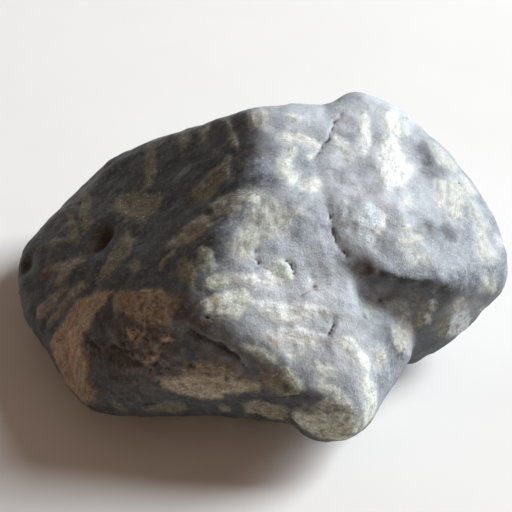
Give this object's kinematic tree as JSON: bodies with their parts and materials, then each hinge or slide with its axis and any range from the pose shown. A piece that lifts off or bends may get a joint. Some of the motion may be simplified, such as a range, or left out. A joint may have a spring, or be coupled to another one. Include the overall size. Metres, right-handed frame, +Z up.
{
  "type": "chinese writing stone",
  "caption": "Blunt water-worn cobble of dark porphyry with pale lath-shaped crystals, a nose in front, a rounded lobe with a ledge and recess at its side, and a flat resting spot.",
  "frame": {"origin": "centre of the bounding box in X and Y, on the plane of the resting spot", "axes": "+X along the length, from the low left end to the lobe; +Y away from the nose, to the back; +Z up from the resting spot"},
  "size_m": [0.1084, 0.076, 0.046],
  "materials": {
    "porphyry": "water-worn, matt with a dull sheen on the dark ground"
  },
  "bodies": {
    "root": {"stone": "porphyry"}
  },
  "joints": []
}
